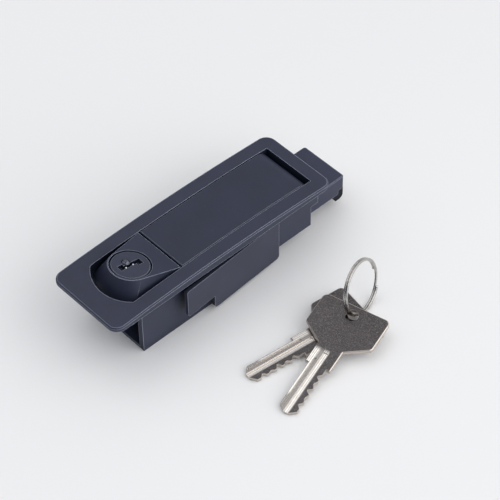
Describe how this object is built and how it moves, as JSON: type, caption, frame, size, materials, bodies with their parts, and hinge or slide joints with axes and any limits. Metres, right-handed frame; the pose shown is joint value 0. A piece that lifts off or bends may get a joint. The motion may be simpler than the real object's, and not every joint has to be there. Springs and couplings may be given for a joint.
{
  "type": "cabinet_lock",
  "caption": "Flush push-button cabinet lock with a pull handle, a sliding latch bolt, a key cylinder in the tilted button and sprung snap-in side wings, in matte black coated metal",
  "frame": {"origin": "centre of the bezel flange's underside, the face that sits on the door", "axes": "+X towards the latch bolt, +Y across the lock to the back, +Z out of the door's outer face"},
  "size_m": [0.1349, 0.1039, 0.035],
  "materials": {
    "black_coat": "fine matte powder coat, satin sheen on the edges",
    "grey_coat": "matte powder coat, slightly lighter",
    "zinc_sheet": "zinc-plated pressed steel",
    "zinc_screw": "zinc-plated screws",
    "steel_pin": "ground steel",
    "spring_steel": "drawn spring wire and strip",
    "nickel": "nickel-plated turned metal",
    "nickel_dark": "dark nickel plate, lightly worn",
    "brass_wafer": "stamped brass",
    "black_nylon": "moulded nylon",
    "bright_steel": "bright spring-steel ring"
  },
  "bodies": {
    "housing": {"housing": "black_coat", "bottom_cover": "black_coat", "cover_screws": "zinc_screw", "handle_pin": "steel_pin", "handle_spring": "spring_steel", "button_pin": "steel_pin", "button_spring": "spring_steel", "bolt_guide_rod": "steel_pin", "bolt_spring": "spring_steel", "wing_spring_front": "spring_steel", "wing_spring_back": "spring_steel"},
    "handle": {"pull_handle": "black_coat"},
    "bolt": {"latch_bolt": "grey_coat", "bolt_nose": "black_nylon"},
    "button": {"lock_button": "black_coat", "cylinder_sleeve": "nickel", "cylinder_nut": "nickel"},
    "plug": {"key_plug": "nickel_dark", "wafers": "brass_wafer", "cam": "zinc_sheet", "cam_screw": "zinc_screw"},
    "front_wing": {"wing_front": "black_coat"},
    "back_wing": {"wing_back": "black_coat"},
    "keys": {"key_front": "nickel_dark", "key_back": "nickel_dark", "key_ring": "bright_steel"}
  },
  "joints": [
    {"name": "handle_hinge", "type": "hinge", "parent": "housing", "child": "handle", "pos_m": [0.0465, 0, -0.0038], "axis": [0, 1, 0], "range_deg": [0, 38]},
    {"name": "bolt_slide", "type": "slide", "parent": "housing", "child": "bolt", "axis": [1, 0, 0], "range_m": [-0.0084, 0], "deforming": ["bolt_spring"]},
    {"name": "button_hinge", "type": "hinge", "parent": "housing", "child": "button", "pos_m": [-0.0235, 0, -0.012], "axis": [0, 1, 0], "range_deg": [-10, 0]},
    {"name": "plug_turn", "type": "hinge", "parent": "button", "child": "plug", "pos_m": [-0.0347, 0, 0.00637], "axis": [0.1736, 0, 0.9848], "range_deg": [0, 90]},
    {"name": "front_wing_hinge", "type": "hinge", "parent": "housing", "child": "front_wing", "pos_m": [0.0292, -0.0151, -0.014], "axis": [0, 0, 1], "range_deg": [-3.3, 0], "deforming": ["wing_spring_front"]},
    {"name": "back_wing_hinge", "type": "hinge", "parent": "housing", "child": "back_wing", "pos_m": [0.0292, 0.0151, -0.014], "axis": [0, 0, 1], "range_deg": [0, 3.3], "deforming": ["wing_spring_back"]},
    {"name": "keys_lift", "type": "slide", "parent": "housing", "child": "keys", "axis": [0, 0, 1], "range_m": [0, 0.04]}
  ],
  "couplings": [
    {"joint": "bolt_slide", "follows": "handle_hinge", "m_per_rad": -0.012439}
  ]
}
